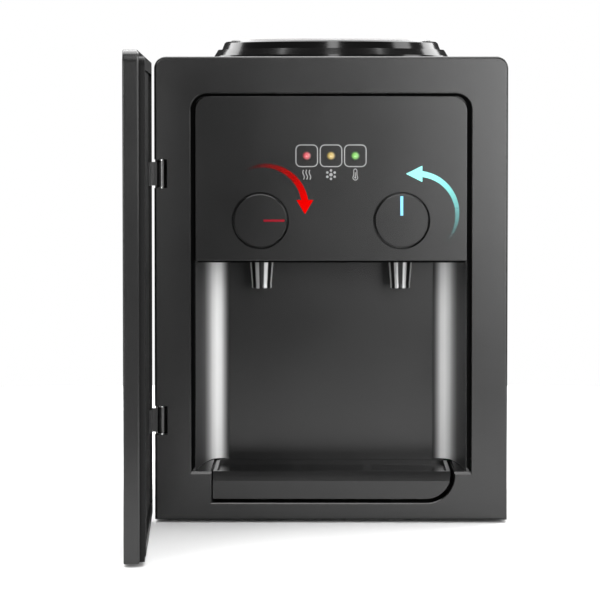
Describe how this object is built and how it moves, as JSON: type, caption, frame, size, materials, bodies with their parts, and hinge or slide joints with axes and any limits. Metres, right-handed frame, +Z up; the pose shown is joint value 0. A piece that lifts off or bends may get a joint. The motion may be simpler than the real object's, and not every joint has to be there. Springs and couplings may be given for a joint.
{
  "type": "countertop water dispenser",
  "caption": "Countertop bottle water dispenser with hinged door, rotary hot and cold taps over a lit alcove, indicator lamps and a slide-out drip tray.",
  "frame": {"origin": "middle of the whole footprint at floor level, with the door open as it rests", "axes": "+X to the right seen from the front, +Y towards the rear, +Z up"},
  "size_m": [0.3195, 0.5823, 0.4128],
  "materials": {
    "shell": "satin black moulded plastic",
    "panel_black": "smooth black moulded plastic",
    "steel_black": "black powder-coated sheet steel",
    "bright_trim": "satin silver",
    "chrome": "polished",
    "steel": "plain stainless steel",
    "white_plastic": "white moulded plastic",
    "natural_plastic": "natural moulded plastic",
    "red_mark": "red inlay",
    "blue_mark": "blue inlay",
    "lamp_red": "red lamp lens",
    "lamp_amber": "amber lamp lens",
    "lamp_green": "green lamp lens",
    "rubber": "black rubber",
    "silicone": "milky silicone",
    "brass": "plain brass",
    "aluminium": "plain",
    "foam": "closed-cell foam",
    "ceramic": "white ceramic",
    "magnet": "ferrite",
    "board": "green circuit board",
    "black_plastic": "plain black plastic",
    "switch_red": "red rocker",
    "switch_blue": "blue rocker"
  },
  "bodies": {
    "case": {"front_frame": "shell", "control_panel": "panel_black", "alcove_liner": "panel_black", "corner_trim_left": "bright_trim", "corner_trim_right": "bright_trim", "left_side_panel": "steel_black", "right_side_panel": "steel_black", "top_cover": "shell", "rear_panel": "steel_black", "case_screws": "steel", "base_plate": "steel_black", "feet": "rubber", "collar_ring_lower": "panel_black", "collar_ring_upper": "panel_black", "seat_seal": "silicone", "hinge_pins": "steel", "hinge_brackets": "black_plastic", "door_magnet": "magnet", "tap_body_hot": "brass", "nozzle_hot": "chrome", "tap_body_cold": "brass", "nozzle_cold": "chrome", "lamp_heating": "lamp_red", "lamp_cooling": "lamp_amber", "lamp_ready": "lamp_green", "indicator_board": "board", "tray_bay": "black_plastic", "cold_reservoir": "natural_plastic", "reservoir_lid": "natural_plastic", "cold_block": "aluminium", "cooling_module": "ceramic", "heatsink": "aluminium", "fan_frame": "black_plastic", "hot_tank": "steel", "band_heater": "steel", "hot_tank_jacket": "foam", "thermostats": "black_plastic", "water_hoses": "silicone", "power_board": "board", "switch_housings": "black_plastic", "mains_inlet": "black_plastic", "drain_spigot": "natural_plastic"},
    "door": {"door_panel": "shell", "door_liner": "panel_black", "door_strike_plate": "steel", "door_hinge_arms": "shell"},
    "hot_knob": {"knob_hot": "panel_black", "knob_hot_mark": "red_mark", "tap_spindle_hot": "natural_plastic"},
    "cold_knob": {"knob_cold": "panel_black", "knob_cold_mark": "blue_mark", "tap_spindle_cold": "natural_plastic"},
    "tray": {"drip_tray": "panel_black"},
    "grid": {"drip_grid": "shell"},
    "seat": {"bottle_seat": "white_plastic", "bottle_probe": "natural_plastic"},
    "fan": {"fan_rotor": "black_plastic"},
    "hot_rocker": {"rear_switch_hot": "switch_red"},
    "cold_rocker": {"rear_switch_cold": "switch_blue"},
    "cap": {"drain_cap": "black_plastic"}
  },
  "joints": [
    {"name": "door_hinge", "type": "hinge", "parent": "case", "child": "door", "pos_m": [-0.1353, 0.0052, 0.1925], "axis": [0, 0, -1], "range_deg": [-88, 12]},
    {"name": "hot_knob_turn", "type": "hinge", "parent": "case", "child": "hot_knob", "pos_m": [-0.051, 0, 0.2575], "axis": [0, 1, 0], "range_deg": [-90, 0]},
    {"name": "cold_knob_turn", "type": "hinge", "parent": "case", "child": "cold_knob", "pos_m": [0.069, 0, 0.2575], "axis": [0, 1, 0], "range_deg": [0, 90]},
    {"name": "tray_slide", "type": "slide", "parent": "case", "child": "tray", "axis": [0, -1, 0], "range_m": [0, 0.1]},
    {"name": "grid_lift", "type": "slide", "parent": "tray", "child": "grid", "axis": [0, 0, 1], "range_m": [0, 0.03]},
    {"name": "seat_lift", "type": "slide", "parent": "case", "child": "seat", "axis": [0, 0, 1], "range_m": [0, 0.12]},
    {"name": "fan_spin", "type": "hinge", "parent": "case", "child": "fan", "pos_m": [0.009, 0.25, 0.2645], "axis": [0, 1, 0], "continuous": true},
    {"name": "hot_switch_rock", "type": "hinge", "parent": "case", "child": "hot_rocker", "pos_m": [0.101, 0.274, 0.3475], "axis": [1, 0, 0], "range_deg": [-14, 0]},
    {"name": "cold_switch_rock", "type": "hinge", "parent": "case", "child": "cold_rocker", "pos_m": [0.129, 0.274, 0.3475], "axis": [1, 0, 0], "range_deg": [-14, 0]},
    {"name": "cap_pull", "type": "slide", "parent": "case", "child": "cap", "axis": [0, 1, 0], "range_m": [0, 0.02]}
  ]
}
